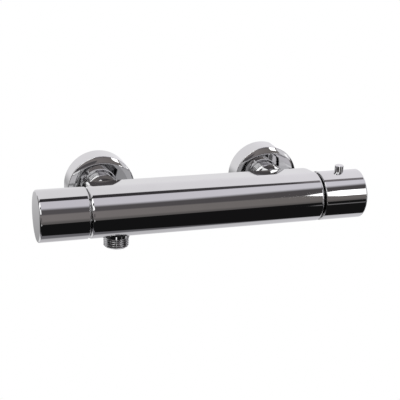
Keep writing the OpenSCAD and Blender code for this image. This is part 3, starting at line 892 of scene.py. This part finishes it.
@dataclass
class Controls(SubAssembly):
    """The two handles with what turns or slides with them."""

    nodes: tuple[str, ...] = (
        "flow_handle",
        "flow_grub_screw",
        "flow_spindle",
        "spindle_clip",
        "turning_disc",
        "temperature_handle",
        "temperature_grub_screw",
        "adjusting_spindle",
        "override_button",
        "mixing_shuttle",
        "wax_element",
        "adjusting_nut",
    )


class Axis(Enum):
    """The row frame's axes."""

    X = 0
    Y = 1
    Z = 2


@dataclass(frozen=True)
class CoilSpring:
    """Compression spring of round wire, wound to fill its node's box.

    The wire's radius and the travel are in mm.
    """

    node: str
    body: str
    joint: str
    along: Axis
    wire_r: float
    turns: int
    travel: float
    steps: int = 24
    sides: int = 10

    def wind(self, low: Point, high: Point) -> bmesh.types.BMesh:
        """Winds the wire inside a box.

        Args:
            low: The box's lowest corner, in metres.
            high: Its highest corner.

        Returns:
            The wire's mesh, closed at both ends.
        """
        up = self.along.value
        one, other = (up + 1) % 3, (up + 2) % 3
        wire = self.wire_r * MM
        mean_r = 0.5 * (high[one] - low[one]) - wire
        climb = high[up] - low[up] - 2.0 * wire
        count = self.turns * self.steps
        bm = bmesh.new()
        rings = []
        for i in range(count + 1):
            a = 2.0 * math.pi * i / self.steps
            ring = []
            for j in range(self.sides):
                b = 2.0 * math.pi * j / self.sides
                r = mean_r + wire * math.cos(b)
                point = [0.0, 0.0, 0.0]
                point[one] = 0.5 * (low[one] + high[one]) + r * math.cos(a)
                point[other] = 0.5 * (low[other] + high[other]) + r * math.sin(a)
                point[up] = low[up] + wire + climb * i / count + wire * math.sin(b)
                ring.append(bm.verts.new(point))
            rings.append(ring)
        for ring, after in zip(rings, rings[1:]):
            for j in range(self.sides):
                n = (j + 1) % self.sides
                bm.faces.new((ring[j], ring[n], after[n], after[j]))
        bm.faces.new(rings[0])
        bm.faces.new(rings[-1])
        bmesh.ops.recalc_face_normals(bm, faces=bm.faces)
        return bm

    def build(self, paints: Paintbox) -> None:
        """Puts the spring in its node's place.

        Args:
            paints: The finishes.
        """
        low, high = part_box(self.node)
        up = self.along.value
        spring = as_object(f"{self.node}_coil", self.wind(low, high))
        spring.data.materials.append(paints.get(Slot.STEEL))
        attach(spring, self.body)
        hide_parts(self.node)
        axis, anchor = [0.0, 0.0, 0.0], [0.5 * (a + b) for a, b in zip(low, high)]
        axis[up], anchor[up] = 1.0, low[up]
        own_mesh(spring)
        log.info("%s wound with %d turns", self.node, self.turns)


SPRINGS: tuple[CoilSpring, ...] = (
    CoilSpring("return_spring", "valve", "mixer_slide", Axis.X, 0.65, 7, 1.17),
    CoilSpring("button_spring", "temperature_control", "button_press", Axis.Z, 0.3, 5, 3.02),
    CoilSpring("check_spring_left", "valve", "check_left_lift", Axis.Y, 0.25, 5, 2.52),
    CoilSpring("check_spring_right", "valve", "check_right_lift", Axis.Y, 0.25, 5, 2.52),
)


@dataclass(frozen=True)
class Panel:
    """A stretch of the room round the bar, from its lower edge up to the next panel.

    The edge's angle turns about the bar's axis: 0 is in front, 90 overhead, 180 behind. It
    leans and bends with the direction's share along the bar, counted from the middle of the
    view. Angles and blur are in degrees.
    """

    name: str
    edge: float
    left: Colour
    right: Colour
    lean: float = 0.0
    bend: float = 0.0
    blur: float = 3.0


@dataclass(frozen=True)
class Window:
    """A bright or dark patch of the room, by its span along the bar and round it.

    It starts and ends at shares of a direction along the bar, and at angles round it in
    degrees. A tapered one starts as a point at its left end and opens by its taper.
    """

    name: str
    along: tuple[float, float]
    around: tuple[float, float]
    level: Colour
    taper: float = 0.0
    blur: float = 1.5


PANELS: tuple[Panel, ...] = (
    Panel("floor_behind", -180.0, (0.92, 0.91, 0.93), (0.92, 0.91, 0.94)),
    Panel("floor_below", -138.0, (0.64, 0.63, 0.65), (0.74, 0.73, 0.76), blur=14.0),
    Panel("grey_skirting", -95.0, (0.2, 0.195, 0.21), (0.02, 0.02, 0.022), lean=20.0, blur=9.0),
    Panel(
        "black_cloth",
        -86.0,
        (0.009, 0.009, 0.0095),
        (0.01, 0.0095, 0.01),
        lean=-60.0,
        blur=3.0,
    ),
    Panel("table_edge", -15.3, (0.15, 0.14, 0.138), (0.13, 0.12, 0.118), lean=18.0, blur=2.5),
    Panel("warm_table", -7.0, (0.25, 0.228, 0.226), (0.2, 0.183, 0.176), blur=12.0),
    Panel("grey_boom", 23.0, (0.118, 0.109, 0.115), (0.095, 0.087, 0.09), blur=7.0),
    Panel(
        "front_ceiling",
        48.5,
        (0.76, 0.735, 0.795),
        (0.84, 0.82, 0.88),
        lean=45.0,
        bend=230.0,
        blur=14.0,
    ),
    Panel("ceiling_seam", 82.6, (0.035, 0.032, 0.037), (0.09, 0.083, 0.09), lean=6.0, blur=3.0),
    Panel(
        "rear_ceiling",
        97.5,
        (0.95, 0.935, 0.96),
        (1.0, 0.975, 1.02),
        lean=-25.0,
        bend=-150.0,
        blur=3.0,
    ),
    Panel("wall_behind", 168.0, (0.93, 0.92, 0.935), (0.92, 0.91, 0.935), blur=20.0),
)

WINDOWS: tuple[Window, ...] = (
    Window("left_wall_foot", (-1.1, 0.0), (-161.0, -136.0), (0.35, 0.35, 0.355), blur=9.0),
    Window("left_rear_shade", (-1.1, -0.2), (-171.0, -150.0), (0.42, 0.42, 0.425), blur=17.0),
    Window("left_low_wall", (-0.62, -0.2), (-150.0, -95.0), (0.95, 0.95, 0.96), blur=4.0),
    Window("left_dark_corner", (-1.1, -0.72), (-150.0, -40.0), (0.03, 0.03, 0.03), blur=4.0),
    Window("dark_doorway", (-0.4, 0.13), (-2.0, 11.0), (0.1, 0.095, 0.1)),
    Window("right_wall", (0.56, 0.82), (-1.0, 48.0), (0.85, 0.84, 0.87), blur=3.0),
    Window("right_pane", (0.685, 0.765), (2.0, 12.0), (1.4, 1.4, 1.4)),
    Window("right_curtain", (0.82, 1.05), (-40.0, 9.0), (0.02, 0.02, 0.022)),
    Window("right_corner", (0.84, 1.1), (-150.0, -50.0), (0.2, 0.195, 0.2), blur=6.0),
    Window("right_low_pane", (0.86, 0.95), (-80.0, -50.0), (0.57, 0.56, 0.58), blur=3.0),
    Window("right_rear_light", (0.385, 0.8), (-180.0, -162.0), (1.25, 1.24, 1.27), blur=3.0),
    Window("right_rear_shade", (0.5, 1.1), (-160.0, -128.0), (0.25, 0.245, 0.25), blur=4.0),
    Window("seam_haze", (0.4, 0.6), (85.0, 95.0), (0.24, 0.22, 0.235)),
    Window("strip_lamp", (0.403, 0.53), (10.5, 36.5), (2.4, 2.4, 2.4), taper=420.0),
    Window("low_lamp", (0.49, 0.66), (-23.0, -4.0), (0.95, 0.94, 0.95)),
    Window("left_low_lamp", (-0.27, -0.12), (-22.5, -14.0), (1.6, 1.6, 1.6)),
    Window("left_dark_wall", (-1.1, -0.6), (92.0, 165.0), (0.14, 0.135, 0.14), blur=4.0),
    Window("grey_rail", (0.41, 0.56), (-29.0, -25.0), (0.2, 0.195, 0.2)),
    Window("left_upper_pane", (-0.95, -0.04), (60.0, 82.0), (2.0, 2.0, 2.0)),
    Window("left_pane_bar", (-0.95, -0.04), (49.0, 60.0), (0.05, 0.05, 0.052)),
    Window("left_lower_pane", (-0.72, -0.04), (27.0, 49.0), (1.7, 1.7, 1.7)),
)


@dataclass
class Studio:
    """White room round the valve, with its floor, lamp and camera.

    Only reflections see the room's panels and windows. The camera sees plain white. The
    panels' tints change over tint_span and their edges lean over lean_reach, both shares
    along the bar. A window's ends blur by side_blur for each degree of its blur.
    """

    panels: tuple[Panel, ...] = PANELS
    windows: tuple[Window, ...] = WINDOWS
    middle: float = 0.31
    tint_span: tuple[float, float] = (0.16, 0.44)
    lean_reach: tuple[float, float] = (-0.3, 0.2)
    side_blur: float = 0.008
    shut_half: float = -1.0
    floor_z: float = -0.85
    floor_half: float = 30.0
    floor_cells: int = 8
    floor_tint: Colour = (0.9, 0.9, 0.9)
    white: Colour = (1.0, 1.0, 1.0)
    lamp_at: Point = (0.1, -0.3, 1.8)
    lamp_size: tuple[float, float] = (1.6, 1.0)
    lamp_watts: float = 3.0
    lens_mm: float = 87.17
    sensor_mm: float = 36.0
    clip: tuple[float, float] = (0.05, 100.0)
    camera_at: Point = (-0.2445, -0.7851, 0.2674)
    look_at: Point = (-0.00471, -0.073, 0.00373)
    roll_deg: float = 2.19

    def paint_panels(self, graph: Graph, along: Socket, around: Socket) -> Socket:
        """Paints the panels one above the other.

        Args:
            graph: The world's graph.
            along: The direction's share along the bar.
            around: Its angle round the bar's axis, in degrees.

        Returns:
            The room's colour without its windows.
        """
        low, high = self.tint_span
        right = graph.add("MapRange", Value=along, From_Min=low, From_Max=high).outputs["Result"]
        off = graph.compute("SUBTRACT", along, self.middle)
        low, high = self.lean_reach
        off = graph.add("Clamp", Value=off, Min=low, Max=high).outputs["Result"]
        squared = graph.compute("MULTIPLY", off, off)
        first, *others = self.panels
        room = graph.mix(right, first.left, first.right)
        for panel in others:
            edge = graph.sum_of(panel.edge, (off, panel.lean), (squared, panel.bend))
            paint = graph.mix(right, panel.left, panel.right)
            room = graph.mix(graph.step(around, edge, panel.blur), room, paint)
        return room

    def window_share(self, graph: Graph, window: Window, along: Socket, around: Socket) -> Socket:
        """Finds how far a direction lies inside a window.

        Args:
            graph: The world's graph.
            window: The window.
            along: The direction's share along the bar.
            around: Its angle round the bar's axis, in degrees.

        Returns:
            The share's socket, 1 inside and 0 outside.
        """
        start, end = window.along
        low, high = window.around
        if window.taper:
            opened = graph.sum_of(-window.taper * start, (along, window.taper))
            full = 0.5 * (high - low)
            half = graph.add("Clamp", Value=opened, Min=self.shut_half, Max=full).outputs["Result"]
            centre = 0.5 * (low + high)
            low = graph.sum_of(centre, (half, -1.0))
            high = graph.sum_of(centre, (half, 1.0))
        ends_blur = window.blur * self.side_blur
        inside = graph.step(around, low, window.blur)
        inside = graph.compute("MULTIPLY", inside, graph.step(along, start, ends_blur))
        for value, edge, blur in ((around, high, window.blur), (along, end, ends_blur)):
            below = graph.compute("SUBTRACT", 1.0, graph.step(value, edge, blur))
            inside = graph.compute("MULTIPLY", inside, below)
        return inside

    def world(self) -> None:
        """Paints the room round the bar and keeps it plain white for the camera."""
        world = bpy.data.worlds.new("studio_room")
        bpy.context.scene.world = world
        world.use_nodes = True
        graph = Graph(world.node_tree)
        axes = graph.add("SeparateXYZ", Vector=graph.add("TexCoord").outputs["Generated"])
        along = axes.outputs["X"]
        front = graph.compute("MULTIPLY", axes.outputs["Y"], -1.0)
        turn = graph.compute("ARCTAN2", axes.outputs["Z"], front)
        around = graph.compute("MULTIPLY", turn, 180.0 / math.pi)
        room = self.paint_panels(graph, along, around)
        for window in self.windows:
            inside = self.window_share(graph, window, along, around)
            room = graph.mix(inside, room, window.level)
        light = graph.add("Background", Color=room, Strength=1.0)
        paper = graph.add("Background", Color=(*self.white, 1.0), Strength=1.0)
        both = graph.plain_for_camera(light.outputs["Background"], paper.outputs["Background"])
        graph.add("OutputWorld", Surface=both)

    def floor(self) -> None:
        """Lays a white floor far below, which the chrome doesn't reflect."""
        bm = bmesh.new()
        cells = self.floor_cells
        bmesh.ops.create_grid(bm, x_segments=cells, y_segments=cells, size=self.floor_half)
        bm.transform(Matrix.Translation((0.0, 0.0, self.floor_z)))
        floor = as_object("studio_floor", bm)
        material = bpy.data.materials.new("floor_paper")
        material.use_nodes = True
        graph = Graph(material.node_tree)
        paper = graph.add("BsdfDiffuse", Color=(*self.floor_tint, 1.0))
        glow = graph.add("Emission", Color=(*self.white, 1.0), Strength=1.0)
        both = graph.plain_for_camera(paper.outputs["BSDF"], glow.outputs["Emission"])
        graph.add("OutputMaterial", Surface=both)
        floor.data.materials.append(material)
        floor.visible_glossy = False

    def overhead_lamp(self) -> None:
        """Hangs a soft lamp overhead, which the chrome doesn't reflect."""
        lamp = bpy.data.lights.new("overhead_lamp", "AREA")
        lamp.shape = "RECTANGLE"
        lamp.size, lamp.size_y = self.lamp_size
        lamp.energy = self.lamp_watts
        stand = bpy.data.objects.new("overhead_lamp", lamp)
        stand.location = self.lamp_at
        stand.visible_glossy = False
        bpy.context.scene.collection.objects.link(stand)

    def camera(self) -> None:
        """Sets the camera at the photograph's angle, distance and roll."""
        data = bpy.data.cameras.new("camera")
        data.lens = self.lens_mm
        data.sensor_width = self.sensor_mm
        data.clip_start, data.clip_end = self.clip
        camera = bpy.data.objects.new("camera", data)
        bpy.context.scene.collection.objects.link(camera)
        camera.rotation_mode = "QUATERNION"
        camera.location = self.camera_at
        ahead = Vector(self.look_at) - Vector(self.camera_at)
        level = ahead.to_track_quat("-Z", "Y").to_matrix()
        roll = Matrix.Rotation(math.radians(self.roll_deg), 3, "Z")
        camera.rotation_quaternion = (level @ roll).to_quaternion()
        bpy.context.scene.camera = camera

    def build(self) -> None:
        """Sets up the room, floor, lamp, camera and plain colour management."""
        self.world()
        self.floor()
        self.overhead_lamp()
        self.camera()
        bpy.context.scene.view_settings.view_transform = "Standard"
        log.info("studio set up")


def main() -> None:
    """Builds the studio and every sub-assembly in order."""
    logging.basicConfig(level=logging.INFO, format="%(name)s: %(message)s")
    Studio().build()
    paints = Paintbox()
    Bar().dress(paints)
    HoseOutlet().build(paints)
    for side in Side:
        supply = Supply(side)
        supply.dress(paints)
        supply.build(paints)
    Controls().dress(paints)
    for spring in SPRINGS:
        spring.build(paints)


if __name__ == "__main__":
    main()
